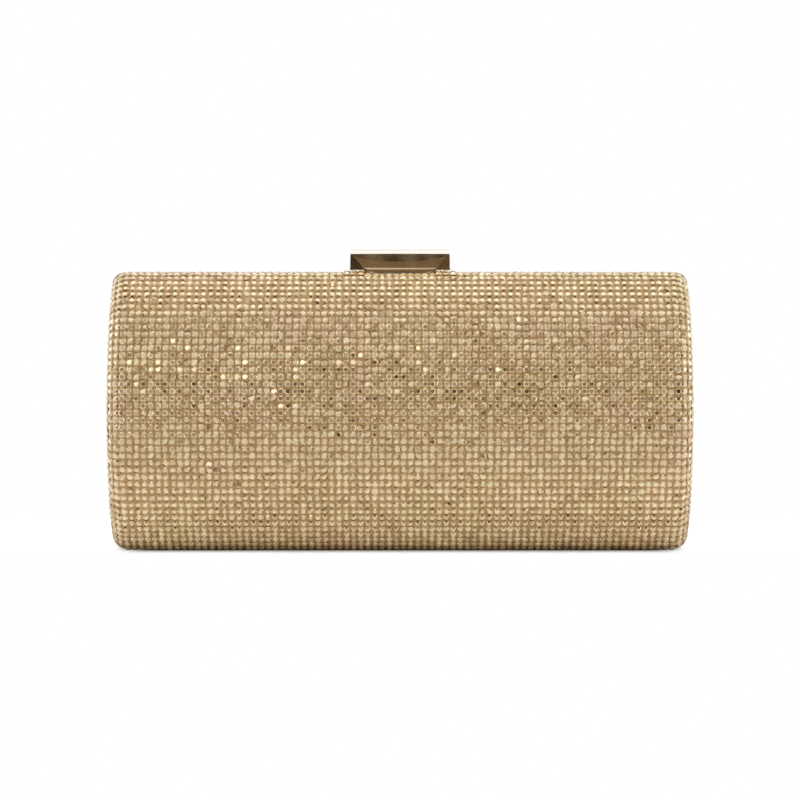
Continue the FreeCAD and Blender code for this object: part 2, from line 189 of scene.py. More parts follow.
def skin_seat(across, along, depth, side, bend):
    """Place and direction on the skin; side is -1 in front and 1 behind, bend rounds the end edges."""
    y, z, lean = profile_at(along)
    normal = Vector((0, side * math.cos(lean), math.sin(lean)))
    flat_end = end_at(z) - bend
    turn = min(max((abs(across) - flat_end) / bend, 0), upright)
    sideways = Vector((math.copysign(1, across), 0, 0))
    outward = normal * math.cos(turn) + sideways * math.sin(turn)
    inner = sideways * min(abs(across), flat_end) + Vector((0, -side * y, z)) - normal * bend
    return inner + outward * (bend - depth), outward


print("seat at the middle of the front:", skin_seat(0, 0, 0, -1, stone_bend))

# %% [markdown]
# ## One stone
# The skin is a mesh of small round glass stones with foil behind them. Each has a flat table, a crown of
# facets and a point below. A cone makes the crown in one step, and drawing its base down to a point makes
# the rest. Eight sides are enough, because there are thousands of stones, each only a few pixels wide.

# %% Cut the stone
stone_sides = 8
stone_pitch = 0.0026
stone_radius = 0.00134
stone_table_share = 0.54
stone_crown = 0.00042
stone_point = 0.00105

stone_bm = bmesh.new()
bmesh.ops.create_cone(
    stone_bm,
    cap_ends=True,
    segments=stone_sides,
    radius1=stone_radius,
    radius2=stone_radius * stone_table_share,
    depth=stone_crown,
    matrix=Matrix.Translation((0, 0, -stone_crown / 2)) @ Matrix.Rotation(math.pi / stone_sides, 4, "Z"),
)
base = min(stone_bm.faces, key=lambda face: face.calc_center_median().z)
culet = bmesh.ops.poke(stone_bm, faces=[base])["verts"]
bmesh.ops.translate(stone_bm, verts=culet, vec=(0, 0, -stone_point))
stone = bpy.data.meshes.new("stone")
stone_bm.to_mesh(stone)
stone_bm.free()
print("one stone has", len(stone.polygons), "faces")

# %% [markdown]
# ## Setting the stones
# Rows run across the front and round onto the ends, as a sheet of mesh would. The end panels are covered by
# their own sheets, whose rows are stretched a little to fill them. No stone sits quite true on such a mesh:
# each is tipped a few degrees, and now and then one is well off, which is what makes single stones flash.
# A fixed seed makes each run the same. The front sheet is cut away where the catch sits under the bar, and
# stands up a little beside the ends of the bar. Copies of one mesh were chosen over instances, because
# every stone carries numbers of its own: a tint for the whole stone and a painted shade for each of its
# facets.

# %% Rules for the setting
setting_seed = 7
stone_tip = math.radians(4.2)
flash_share = 0.04
flash_tip = math.radians(15)
plate_low, plate_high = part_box("catch_plate")
notch_gap = 0.0002
notch_half = plate_high.x + notch_gap
notch_front = plate_low.y - notch_gap
notch_level = plate_high.z + notch_gap / 2
collar_lift = 0.0006
collar_end = 0.0185
collar_reach = 0.0225
collar_lean = math.radians(35)
setting = random.Random(setting_seed)


def ease(value, low, high):
    """Smooth step from 0 at low to 1 at high."""
    share = min(max((value - low) / (high - low), 0), 1)
    return share * share * (3 - 2 * share)


def stone_place(seat, outward):
    """Matrix that stands a stone on its seat, tipped by chance."""
    tip = setting.gauss(0, stone_tip)
    if setting.random() < flash_share:
        tip += flash_tip * setting.random()
    axis = Matrix.Rotation(setting.uniform(0, full_turn), 4, "Z")
    lean = axis @ Matrix.Rotation(tip, 4, "X") @ axis.inverted()
    return Matrix.Translation(seat) @ outward.to_track_quat("Z", "Y").to_matrix().to_4x4() @ lean


def under_bar(seat, side):
    """True on the top of the front half, where the catch sits under the bar."""
    return side < 0 and abs(seat.x) < notch_half and seat.z > mid_height


def in_notch(seat, side):
    """True where the front sheet is cut away for the catch."""
    return under_bar(seat, side) and seat.y > notch_front


def collar_rise(seat, outward, side):
    """How far the front sheet stands up beside the ends of the bar, on the top and its corner."""
    if side > 0 or seat.z < mid_height:
        return 0
    beside = 1 - ease(abs(seat.x), collar_end, collar_reach)
    return collar_lift * beside * ease(math.asin(outward.z), collar_lean, upright)


print("the notch for the catch is", 2 * notch_half, "m wide")

# %% Join the stones of a sheet
# Painted shade of the facets: the table gets a fixed level and each crown facet a random share of the crown
# level.
table_painted_level = 0.9
crown_painted_level = 0.82


def set_stones(name, body, places):
    """One piece that holds a stone at each place, each with a tint of its own and a painted shade on each
    facet.
    """
    bm = bmesh.new()
    for place in places:
        copy = stone.copy()
        copy.transform(place)
        bm.from_mesh(copy)
        bpy.data.meshes.remove(copy)
    tint = bm.verts.layers.float.new("tint")
    corners = len(stone.vertices)
    value = 0
    for number, vert in enumerate(bm.verts):
        if number % corners == 0:
            value = setting.random()
        vert[tint] = value
    # Each facet carries a painted shade, which stands in for the light that real glass bends and throws back
    # from its foil.
    painted_facet_shade = bm.faces.layers.float.new("painted_facet_shade")
    for face in bm.faces:
        face[painted_facet_shade] = table_painted_level if len(face.verts) == stone_sides else crown_painted_level * setting.random()
    mesh = bpy.data.meshes.new(name)
    bm.to_mesh(mesh)
    bm.free()
    piece = bpy.data.objects.new(name, mesh)
    bpy.context.collection.objects.link(piece)
    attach(piece, body)
    print(name, len(places), "stones")
    return piece


# %% Rows of the halves and of the end panels
reach_steps = 24
end_depth = stone_bend + stone_pitch / 2


def half_row(z):
    """Length of a row of stones at this height from the middle of the case to the end of its bend."""
    return end_at(z) - stone_bend + stone_bend * upright


def end_reach(z):
    """Distance off the parting of the last stone in a row on an end panel."""
    low, high = skin_edge, -skin_low.y
    for _ in range(reach_steps):
        middle = (low + high) / 2
        if depth_in_profile(-middle, z) > end_depth:
            low = middle
        else:
            high = middle
    return low


half_length = arc_length + flat_reach - skin_edge
row_count = round(2 * half_length / stone_pitch)
row_pitch = 2 * half_length / row_count
column_count = 2 * round(half_row(mid_height) / stone_pitch)
end_half = case_height / 2 - end_depth
end_gaps = round(2 * end_half / stone_pitch)
first_stone = skin_edge + stone_pitch / 2
print(row_count, "rows of", column_count, "stones on a half, and", end_gaps + 1, "rows on an end panel")

# %% Set the stones of both halves
stone_pieces = []
for side, body in halves:
    sheet = []
    for row in range(row_count):
        along = (row - (row_count - 1) / 2) * row_pitch
        column_pitch = 2 * half_row(profile_at(along)[1]) / column_count
        for column in range(column_count):
            across = (column - (column_count - 1) / 2) * column_pitch
            seat, outward = skin_seat(across, along, 0, side, stone_bend)
            if in_notch(seat, side):
                continue
            if under_bar(seat, side):
                seat.z = min(seat.z, notch_level)
            else:
                seat.z += collar_rise(seat, outward, side)
            sheet.append(stone_place(seat, outward))
    stone_pieces.append(set_stones(body + "_stones", body, sheet))

    ends = []
    for row in range(end_gaps + 1):
        z = mid_height + end_half * (2 * row / end_gaps - 1)
        span = end_reach(z) - first_stone
        gaps = max(round(span / stone_pitch), 1)
        for column in range(gaps + 1):
            y = first_stone + span * column / gaps
            for end in (-1, 1):
                outward = Vector((end, 0, (z - mid_height) / end_radius)).normalized()
                ends.append(stone_place(Vector((end * end_at(z), side * y, z)), outward))
    stone_pieces.append(set_stones(body + "_end_stones", body, ends))

# %% [markdown]
# ## Sheets that follow the case
# The sheet that holds the stones, and the linings inside, all follow the case at some depth below its
# surface. So one function makes them: it bends a flat grid onto the seats, draws the two ends across the
# end panels to the parting, and notes on every vertex how far it lies along and across the sheet, for the
# weave. Bending a grid was chosen over copying the model's mesh, whose triangles are loose and uneven.

# %% Bend a sheet
sheet_columns = 160
sheet_rows = 80
end_cuts = 7
merge_distance = 0.00001


def lengthwise_ends(bm):
    """Boundary edges at the two ends of a flat grid, by side."""
    ends = {-1: [], 1: []}
    for edge in bm.edges:
        if edge.is_boundary and edge.verts[0].co.x == edge.verts[1].co.x:
            ends[round(edge.verts[0].co.x)].append(edge)
    return ends


def bend_sheet(side, start, depth, bend):
    """Grid bent onto one half at a depth, from this distance off the parting, with its end panels."""
    bm = bmesh.new()
    bmesh.ops.create_grid(bm, x_segments=sheet_columns, y_segments=sheet_rows, size=1)
    run = bm.verts.layers.float_vector.new("run")
    ends = lengthwise_ends(bm)
    for vert in bm.verts:
        along = vert.co.y * (arc_length + flat_reach - start)
        across = vert.co.x * (end_at(profile_at(along)[1]) - bend + bend * upright)
        vert[run] = Vector((across, along, 0))
        vert.co = skin_seat(across, along, depth, side, bend)[0]
    for end, edges in ends.items():
        drawn = bmesh.ops.extrude_edge_only(bm, edges=edges)["geom"]
        new_verts = [part for part in drawn if isinstance(part, bmesh.types.BMVert)]
        for vert in new_verts:
            vert[run] += Vector((end * abs(vert.co.y - side * start), 0, 0))
            vert.co.y = side * start
        spans = []
        for vert in new_verts:
            spans += [edge for edge in vert.link_edges if edge.other_vert(vert) not in new_verts]
        bmesh.ops.subdivide_edges(bm, edges=spans, cuts=end_cuts, use_grid_fill=True)
    bmesh.ops.remove_doubles(bm, verts=bm.verts, dist=merge_distance)
    bmesh.ops.dissolve_degenerate(bm, edges=bm.edges, dist=merge_distance)
    bmesh.ops.recalc_face_normals(bm, faces=bm.faces)
    outside = Vector((0, side, mid_height))
    middle = min(bm.faces, key=lambda face: (face.calc_center_median() - outside).length)
    if middle.normal.y * side < 0:
        bmesh.ops.reverse_faces(bm, faces=bm.faces)
    return bm


def place_piece(name, bm, body):
    """Object made from a finished bmesh, smooth, riding on a body."""
    mesh = bpy.data.meshes.new(name)
    bm.to_mesh(mesh)
    bm.free()
    mesh.shade_smooth()
    piece = bpy.data.objects.new(name, mesh)
    bpy.context.collection.objects.link(piece)
    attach(piece, body)
    print(name, len(mesh.polygons), "faces")
    return piece


def thicken(piece, wall, offset):
    """Gives a sheet its wall; an offset of -1 puts it on the inside."""
    solid = piece.modifiers.new("wall", "SOLIDIFY")
    solid.thickness = wall
    solid.offset = offset


# %% [markdown]
# ## The sheet under the stones
# Between the stones the metal sheet that holds them shows as small dark gaps. It lies a little below the
# stones' widest part, stands up with them beside the bar, and is cut away behind the front of the catch.
# The plain skin of the model could have stayed under the stones, but it would hide them, so this sheet
# stands for it.

# %% Sheets of the two halves
stone_sheet_depth = 0.0005
stone_sheet_wall = 0.0004
stone_sheets = []
for side, body in halves:
    bm = bend_sheet(side, skin_edge, stone_sheet_depth, stone_bend)
    run = bm.verts.layers.float_vector["run"]
    for vert in bm.verts:
        seat, outward = skin_seat(vert[run].x, vert[run].y, 0, side, stone_bend)
        if not under_bar(seat, side):
            vert.co.z += collar_rise(seat, outward, side)
    if side < 0:
        for plane, normal in (
            ((notch_half, 0, 0), (1, 0, 0)),
            ((-notch_half, 0, 0), (1, 0, 0)),
            ((0, notch_front, 0), (0, 1, 0)),
        ):
            geometry = bm.verts[:] + bm.edges[:] + bm.faces[:]
            bmesh.ops.bisect_plane(bm, geom=geometry, plane_co=plane, plane_no=normal)
        cut = [face for face in bm.faces if in_notch(face.calc_center_median(), side)]
        bmesh.ops.delete(bm, geom=cut, context="FACES")
    piece = place_piece(body + "_stone_sheet", bm, body)
    thicken(piece, stone_sheet_wall, -1)
    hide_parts(body + "_crystal_mesh")
    stone_sheets.append(piece)

# %% [markdown]
# ## The satin linings
# Inside each half a satin cloth is stretched over thin board and tucked into the rim. It is nearly as
# smooth as the board, with faint ripples where the cloth turns the corners. A simulation would only find
# the board again, so the sheet is bent onto it and the ripples are added as soft waves that fade out
# under the rim and under the pocket.

# %% Ripples of the satin
lining_gap = 0.00005
lining_wall = 0.0003
tuck_reach = 0.0065
tuck_fade = 0.0050
ripple_rise = 0.00045
ripple_long = 0.031
ripple_short = 0.0117
ripple_slant = 3
ripple_share = 3
pocket_low, pocket_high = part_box("slip_pocket")
pocket_margin = 0.007


def off_pocket(place):
    """0 on the pocket, rising to 1 a little way outside it."""
    beside = abs(place.x) - pocket_high.x
    outside = max(beside, place.z - pocket_high.z, pocket_low.z - place.z)
    return ease(outside, 0, pocket_margin)


def satin_ripple(run, place, side):
    """How far the satin stands off its board."""
    sway = math.sin(full_turn * run.y / ripple_long)
    wave = math.sin(full_turn * (run.x + run.y / ripple_slant) / ripple_long + sway)
    wave += math.sin(full_turn * (run.x / 2 - run.y) / ripple_short) / ripple_share
    rise = ripple_rise * (1 + wave / 2) * ease(abs(place.y), tuck_reach, tuck_reach + tuck_fade)
    return rise * off_pocket(place) if side > 0 else rise


print("ripples up to", ripple_rise, "m high, none on the pocket's", 2 * pocket_high.x, "m")

# %% Stretch the linings
linings = []
for side, body in halves:
    satin_low, satin_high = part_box(body + "_lining_satin")
    satin_start = min(abs(satin_low.y), abs(satin_high.y))
    satin_depth = skin_high.z - satin_high.z
    bm = bend_sheet(side, satin_start, satin_depth + lining_gap, lining_bend)
    cut_area = sum(face.calc_area() for face in bm.faces)
    run = bm.verts.layers.float_vector["run"]
    bm.normal_update()
    for vert in bm.verts:
        vert.co -= vert.normal * satin_ripple(vert[run], vert.co, side)
    lining = place_piece(body + "_satin", bm, body)
    thicken(lining, lining_wall, -1)
    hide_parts(body + "_lining_satin")
    linings.append(lining)

# %% [markdown]
# ## The slip pocket
# A flat pocket is sewn on the back lining along its sides and bottom. Its mouth is a little slack, so it
# stands off the lining in the middle. A grid takes the place of the cloth: its rows follow the lining,
# and its depth grows towards the middle of the mouth. So small a cloth hardly sags, so no simulation is
# run. The ribbon that binds the mouth is folded over its edge in the same way, and a row of small
# stitches holds the sides and the bottom.

# %% Shape of the pocket
pocket_depth = 0.00424
pocket_wall = 0.00025
pocket_slack = 0.0013
pocket_wave = 0.0003
pocket_waves = 5
pocket_columns = 90
pocket_rows = 32


def along_at(z, depth):
    """Distance along the profile at which a layer at this depth reaches a height."""
    height = abs(z - mid_height)
    passed = 0
    for start, end, radius, _, centre_rise in arcs:
        lean = math.asin(min((height - centre_rise) / (radius - depth), 1))
        if lean <= end:
            break
        passed += radius * (end - start)
    return math.copysign(passed + radius * (lean - start), z - mid_height)


pocket_bottom = along_at(pocket_low.z, pocket_depth)
pocket_mouth = along_at(pocket_high.z, pocket_depth)
pocket_length = pocket_mouth - pocket_bottom


def pocket_seat(across, along, lift):
    """Place on the pocket, lifted off its cloth towards the middle of the case."""
    share = across / pocket_high.x
    rise = (along - pocket_bottom) / pocket_length
    loose = (1 - share * share) * rise * rise
    slack = pocket_slack * loose + pocket_wave * loose * math.sin(pocket_waves * math.pi * share)
    return skin_seat(across, along, pocket_depth + slack + lift, 1, lining_bend)


def face_front(bm):
    """Turns the faces of a sheet on the back lining towards the front."""
    bmesh.ops.recalc_face_normals(bm, faces=bm.faces)
    if bm.faces[:][0].normal.y > 0:
        bmesh.ops.reverse_faces(bm, faces=bm.faces)


# %% Cut the pocket
bm = bmesh.new()
bmesh.ops.create_grid(bm, x_segments=pocket_columns, y_segments=pocket_rows, size=1)
run = bm.verts.layers.float_vector.new("run")
for vert in bm.verts:
    across = vert.co.x * pocket_high.x
    along = pocket_bottom + pocket_length * (vert.co.y + 1) / 2
    vert[run] = Vector((across, along, 0))
    vert.co = pocket_seat(across, along, 0)[0]
face_front(bm)
pocket = place_piece("pocket_cloth", bm, "back")
thicken(pocket, pocket_wall, 1)
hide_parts("slip_pocket")

# %% Fold the ribbon over the mouth
ribbon_wall = 0.0003
ribbon_gap = 0.00006
ribbon_width = pocket_high.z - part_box("pocket_binding")[0].z
ribbon_turn = math.radians(110)
ribbon_rows = 14
ribbon_fold_share = 0.3
ribbon_leg_share = 1 - ribbon_fold_share
fold_radius = pocket_wall / 2 + ribbon_gap

bm = bmesh.new()
bmesh.ops.create_grid(bm, x_segments=pocket_columns, y_segments=ribbon_rows, size=1)
run = bm.verts.layers.float_vector.new("run")
for vert in bm.verts:
    across = vert.co.x * pocket_high.x
    up_share = (vert.co.y + 1) / 2
    turn = ribbon_turn * max(up_share - ribbon_leg_share, 0) / ribbon_fold_share
    leg = ribbon_width * min(up_share / ribbon_leg_share, 1)
    along = pocket_mouth - ribbon_width + leg + fold_radius * math.sin(turn)
    vert[run] = Vector((across, leg + fold_radius * turn, 0))
    vert.co = pocket_seat(across, along, pocket_wall / 2 + fold_radius * math.cos(turn))[0]
face_front(bm)
ribbon = place_piece("pocket_ribbon", bm, "back")
thicken(ribbon, ribbon_wall, 1)
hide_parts("pocket_binding")

# %% Sew the stitches
stitch_pitch = 0.0030
stitch_length = 0.0021
stitch_thick = 0.0004
stitch_inset = 0.0022
stitch_sides = 6
stitch_rings = 5


def sew(bm, across, along, step_across, step_along):
    """One stitch at a place on the pocket, pointing along the seam."""
    place, outward = pocket_seat(across, along, pocket_wall)
    ahead = pocket_seat(across + step_across, along + step_along, pocket_wall)[0] - place
    turn = Matrix((ahead.normalized(), outward.cross(ahead).normalized(), outward)).transposed().to_4x4()
    size = Matrix.Diagonal((stitch_length / 2, stitch_thick / 2, stitch_thick / 2, 1))
    bmesh.ops.create_uvsphere(
        bm,
        u_segments=stitch_sides,
        v_segments=stitch_rings,
        radius=1,
        matrix=Matrix.Translation(place) @ turn @ size,
    )


bm = bmesh.new()
seam_half = pocket_high.x - stitch_inset
seam_bottom = pocket_bottom + stitch_inset
bottom_count = math.floor(2 * seam_half / stitch_pitch)
side_count = math.floor((pocket_length - ribbon_width - stitch_inset) / stitch_pitch)
for number in range(bottom_count):
    across = (number - (bottom_count - 1) / 2) * stitch_pitch
    sew(bm, across, seam_bottom, stitch_pitch, 0)
for number in range(side_count):
    along = seam_bottom + (number + 1) * stitch_pitch
    for edge in (-1, 1):
        sew(bm, edge * seam_half, along, 0, stitch_pitch)
stitches = place_piece("pocket_stitches", bm, "back")
print("pocket is cut from", round(2 * pocket_high.x, 3), "by", round(pocket_length, 4), "m")

# %% [markdown]
# ## Helpers for the finishes
# Every finish is a small tree of nodes. The trees could be drawn by hand in the shader editor, but a script
# has to make them again on each run, so a few helpers keep the cells short: they add a node and set its
# sockets, make a material around the standard shader, and make the two kinds of node that come up most.

# %% Node helpers
metal = 1.0
not_metal = 0.0


def node_tools(tree):
    """Functions that add a node with values on its sockets, and that join two sockets."""

    def add(kind, **values):
        node = tree.nodes.new(kind)
        for key, value in values.items():
            node.inputs[key.replace("_", " ")].default_value = value
        return node

    return add, tree.links.new


def new_finish(name, roughness, metallic):
    """Material with its shader and its node tools."""
    material = bpy.data.materials.new(name)
    material.use_nodes = True
    shader = material.node_tree.nodes["Principled BSDF"]
    shader.inputs["Roughness"].default_value = roughness
    shader.inputs["Metallic"].default_value = metallic
    return material, shader, *node_tools(material.node_tree)


def colour_ramp(add, low, high):
    """Ramp between two colours."""
    ramp = add("ShaderNodeValToRGB")
    ramp.color_ramp.elements[0].color = (*low, 1)
    ramp.color_ramp.elements[1].color = (*high, 1)
    return ramp


def value_range(add, low, high):
    """Maps 0 to 1 onto a range of values."""
    spread = add("ShaderNodeMapRange")
    spread.inputs["To Min"].default_value = low
    spread.inputs["To Max"].default_value = high
    return spread


def dress(piece, material):
    """Gives a piece one finish."""
    piece.data.materials.clear()
    piece.data.materials.append(material)


def tell(material):
    """Prints how large a finish is."""
    print(material.name, "has", len(material.node_tree.nodes), "nodes")


# %% [markdown]
# ## Crystal
# The stones are foil-backed glass: a pale gold mirror under a clear face. Real glass could be traced down to
# its foil, but a stone is only a few pixels wide, so a coated mirror is enough and takes less time to
# render. Each stone takes a tint from the number that its vertices carry. Each facet also carries a painted
# shade, which stands in for the light that real glass would bend and throw back from its foil, and the
# darker painted facets are richer in colour, as dim light is. Slow patches of warmer and greener gold run
# across the case, as batches of stones do.

# %% Crystal finish
crystal_gloss = (0.10, 0.26)
crystal_warm = (0.75, 0.53, 0.255)
crystal_pale = (0.97, 0.755, 0.425)
batch_scale = 55.0
batch_detail = 2.0
batch_hues = (0.478, 0.522)
painted_facet_levels = (0.55, 1.15)
painted_facet_saturation = (1.12, 0.86)
clear_face = 0.6
clear_face_roughness = 0.08

crystal, shader, add, join = new_finish("crystal", crystal_gloss[1], metal)
shader.inputs["Coat Weight"].default_value = clear_face
shader.inputs["Coat Roughness"].default_value = clear_face_roughness
tint = add("ShaderNodeAttribute")
tint.attribute_name = "tint"
ramp = colour_ramp(add, crystal_warm, crystal_pale)
place = add("ShaderNodeTexCoord")
patches = add("ShaderNodeTexNoise", Scale=batch_scale, Detail=batch_detail)
shift = value_range(add, *batch_hues)
# The painted shade of each facet sets the brightness of its colour and makes the darker facets richer.
painted_facet_shade = add("ShaderNodeAttribute")
painted_facet_shade.attribute_name = "painted_facet_shade"
depth = value_range(add, *painted_facet_levels)
painted_saturation = value_range(add, *painted_facet_saturation)
batch_tone_and_painted_shade = add("ShaderNodeHueSaturation")
polish = value_range(add, *crystal_gloss)
join(tint.outputs["Fac"], ramp.inputs["Fac"])
join(place.outputs["Object"], patches.inputs["Vector"])
join(patches.outputs["Fac"], shift.inputs["Value"])
join(shift.outputs["Result"], batch_tone_and_painted_shade.inputs["Hue"])
join(painted_facet_shade.outputs["Fac"], depth.inputs["Value"])
join(depth.outputs["Result"], batch_tone_and_painted_shade.inputs["Value"])
join(painted_facet_shade.outputs["Fac"], painted_saturation.inputs["Value"])
join(painted_saturation.outputs["Result"], batch_tone_and_painted_shade.inputs["Saturation"])
join(ramp.outputs["Color"], batch_tone_and_painted_shade.inputs["Color"])
join(batch_tone_and_painted_shade.outputs["Color"], shader.inputs["Base Color"])
join(tint.outputs["Fac"], polish.inputs["Value"])
join(polish.outputs["Result"], shader.inputs["Roughness"])
for piece in stone_pieces:
    dress(piece, crystal)
tell(crystal)

# %% [markdown]
# ## Metal under the stones
# The holding sheet is stamped brass, duller than the stones and a little uneven in colour. It could share
# the finish of the plated parts, but a rough metal of its own keeps the gaps between the stones dark.

# %% Stone sheet finish
sheet_roughness = 0.55
sheet_dark = (0.48, 0.315, 0.14)
sheet_light = (0.64, 0.44, 0.215)
stamp_scale = 900.0
stamp_detail = 3.0

sheet_metal, shader, add, join = new_finish("sheet_metal", sheet_roughness, metal)
place = add("ShaderNodeTexCoord")
grain = add("ShaderNodeTexNoise", Scale=stamp_scale, Detail=stamp_detail)
ramp = colour_ramp(add, sheet_dark, sheet_light)
join(place.outputs["Object"], grain.inputs["Vector"])
join(grain.outputs["Fac"], ramp.inputs["Fac"])
join(ramp.outputs["Color"], shader.inputs["Base Color"])
for piece in stone_sheets:
    dress(piece, sheet_metal)
tell(sheet_metal)

# %% [markdown]
# ## Plated gold
# The rims, the hinges and the bar are polished light-gold plate. Polished metal is never quite even: finger
# smudges dull it in soft patches, and wiping leaves fine lines along its length. One even roughness would
# look too clean, so a slow noise sets the gloss and a stretched one makes the lines.

# %% Gold finish
gold_gloss = (0.05, 0.16)
gold_deep = (0.82, 0.63, 0.36)
gold_light = (0.88, 0.70, 0.43)
smudge_scale = 160.0
smudge_detail = 4.0
wipe_stretch = (60.0, 2600.0, 2600.0)
wipe_detail = 2.0
wipe_strength = 0.06
wipe_height = 0.0001

gold, shader, add, join = new_finish("gold", gold_gloss[1], metal)
place = add("ShaderNodeTexCoord")
smudge = add("ShaderNodeTexNoise", Scale=smudge_scale, Detail=smudge_detail)
dull = value_range(add, *gold_gloss)
ramp = colour_ramp(add, gold_deep, gold_light)
wipe = add("ShaderNodeMapping", Scale=wipe_stretch)
lines = add("ShaderNodeTexNoise", Scale=1.0, Detail=wipe_detail)
bump = add("ShaderNodeBump", Strength=wipe_strength, Distance=wipe_height)
join(place.outputs["Object"], smudge.inputs["Vector"])
join(smudge.outputs["Fac"], dull.inputs["Value"])
join(dull.outputs["Result"], shader.inputs["Roughness"])
join(smudge.outputs["Fac"], ramp.inputs["Fac"])
join(ramp.outputs["Color"], shader.inputs["Base Color"])
join(place.outputs["Object"], wipe.inputs["Vector"])
join(wipe.outputs["Vector"], lines.inputs["Vector"])
join(lines.outputs["Fac"], bump.inputs["Height"])
join(bump.outputs["Normal"], shader.inputs["Normal"])
tell(gold)

# %% [markdown]
# ## Steel
# Pins, screws and springs are drawn steel, with fine lines along the drawing direction. They are too small
# for bumps to show, so the lines change only the colour and the gloss.

# %% Steel finish
steel_gloss = (0.18, 0.36)
steel_dark = (0.52, 0.50, 0.47)
steel_light = (0.70, 0.68, 0.64)
drawn_stretch = (80.0, 4000.0, 4000.0)
drawn_detail = 2.0

steel, shader, add, join = new_finish("steel", steel_gloss[1], metal)
place = add("ShaderNodeTexCoord")
drawn = add("ShaderNodeMapping", Scale=drawn_stretch)
lines = add("ShaderNodeTexNoise", Scale=1.0, Detail=drawn_detail)
ramp = colour_ramp(add, steel_dark, steel_light)
dull = value_range(add, *steel_gloss)
join(place.outputs["Object"], drawn.inputs["Vector"])
join(drawn.outputs["Vector"], lines.inputs["Vector"])
join(lines.outputs["Fac"], ramp.inputs["Fac"])
join(lines.outputs["Fac"], dull.inputs["Value"])
join(ramp.outputs["Color"], shader.inputs["Base Color"])
join(dull.outputs["Result"], shader.inputs["Roughness"])
tell(steel)

# %% [markdown]
# ## Shell and board
# The half cases are moulded plastic with a fine spark-eroded grain, and the linings' board shows its fibres.
# Both lie between the stones and the satin and hardly show, so one noise each is enough.

# %% Moulded shell finish
moulded_roughness = 0.55
moulded_dark = (0.40, 0.31, 0.19)
moulded_light = (0.47, 0.37, 0.24)
grain_scale = 2200.0
grain_detail = 2.0
grain_strength = 0.25
grain_height = 0.0001

moulded, shader, add, join = new_finish("moulded", moulded_roughness, not_metal)
place = add("ShaderNodeTexCoord")
grain = add("ShaderNodeTexNoise", Scale=grain_scale, Detail=grain_detail)
ramp = colour_ramp(add, moulded_dark, moulded_light)
bump = add("ShaderNodeBump", Strength=grain_strength, Distance=grain_height)
join(place.outputs["Object"], grain.inputs["Vector"])
join(grain.outputs["Fac"], ramp.inputs["Fac"])
join(grain.outputs["Fac"], bump.inputs["Height"])
join(ramp.outputs["Color"], shader.inputs["Base Color"])
join(bump.outputs["Normal"], shader.inputs["Normal"])
tell(moulded)

# %% Board finish
board_roughness = 0.9
board_dark = (0.42, 0.36, 0.27)
board_light = (0.58, 0.51, 0.40)
fibre_scale = 700.0
fibre_detail = 6.0
fibre_curl = 1.5

board, shader, add, join = new_finish("board", board_roughness, not_metal)
place = add("ShaderNodeTexCoord")
fibres = add("ShaderNodeTexNoise", Scale=fibre_scale, Detail=fibre_detail, Distortion=fibre_curl)
ramp = colour_ramp(add, board_dark, board_light)
join(place.outputs["Object"], fibres.inputs["Vector"])
join(fibres.outputs["Fac"], ramp.inputs["Fac"])
join(ramp.outputs["Color"], shader.inputs["Base Color"])
tell(board)

# %% [markdown]
# ## Satin, ribbon and thread
# Satin has long floating threads, so it is smooth and shines, and its weave follows the sheet. A weave on
# the object's own axes would stretch where the cloth turns the corners, so the distance that each vertex
# keeps along and across the sheet carries it round them. A faint cloud keeps the cloth from looking
# printed. The ribbon is ribbed across its length, and the thread is twisted.

# %% Satin finish
satin_roughness = 0.30
satin_deep = (0.64, 0.51, 0.33)
satin_light = (0.88, 0.74, 0.53)
thread_scale = 900.0
crossing_scale = 420.0
thread_sway = 0.6
thread_detail = 1.0
cloud_scale = 45.0
cloud_detail = 2.0
cloud_levels = (0.30, 0.58)
weave_share = 0.35
weave_strength = 0.15
weave_height = 0.00005
satin_shine = 0.8
satin_sheen = 0.4
satin_sheen_roughness = 0.4

satin, shader, add, join = new_finish("satin", satin_roughness, not_metal)
shader.inputs["Specular IOR Level"].default_value = satin_shine
shader.inputs["Sheen Weight"].default_value = satin_sheen
shader.inputs["Sheen Roughness"].default_value = satin_sheen_roughness
cloth = add("ShaderNodeAttribute")
cloth.attribute_name = "run"
threads = add("ShaderNodeTexWave", Scale=thread_scale, Distortion=thread_sway, Detail=thread_detail)
crossing = add("ShaderNodeTexWave", Scale=crossing_scale, Distortion=thread_sway, Detail=thread_detail)
crossing.bands_direction = "Y"
weave = add("ShaderNodeMath")
weave.operation = "MULTIPLY"
cloud = add("ShaderNodeTexNoise", Scale=cloud_scale, Detail=cloud_detail)
faint = value_range(add, *cloud_levels)
shade = add("ShaderNodeMath")
shade.operation = "MULTIPLY_ADD"
shade.inputs[1].default_value = weave_share
ramp = colour_ramp(add, satin_deep, satin_light)
bump = add("ShaderNodeBump", Strength=weave_strength, Distance=weave_height)
for pattern in (threads, crossing, cloud):
    join(cloth.outputs["Vector"], pattern.inputs["Vector"])
join(threads.outputs["Fac"], weave.inputs[0])
join(crossing.outputs["Fac"], weave.inputs[1])
join(weave.outputs[0], shade.inputs[0])
join(cloud.outputs["Fac"], faint.inputs["Value"])
join(faint.outputs["Result"], shade.inputs[2])
join(shade.outputs[0], ramp.inputs["Fac"])
join(weave.outputs[0], bump.inputs["Height"])
join(ramp.outputs["Color"], shader.inputs["Base Color"])
join(bump.outputs["Normal"], shader.inputs["Normal"])
for piece in (*linings, pocket):
    dress(piece, satin)
tell(satin)

# %% Ribbon finish
ribbon_roughness = 0.6
ribbon_dark = (0.26, 0.18, 0.10)
ribbon_light = (0.42, 0.31, 0.18)
rib_scale = 330.0
rib_sway = 0.2
rib_strength = 0.5
rib_height = 0.0001

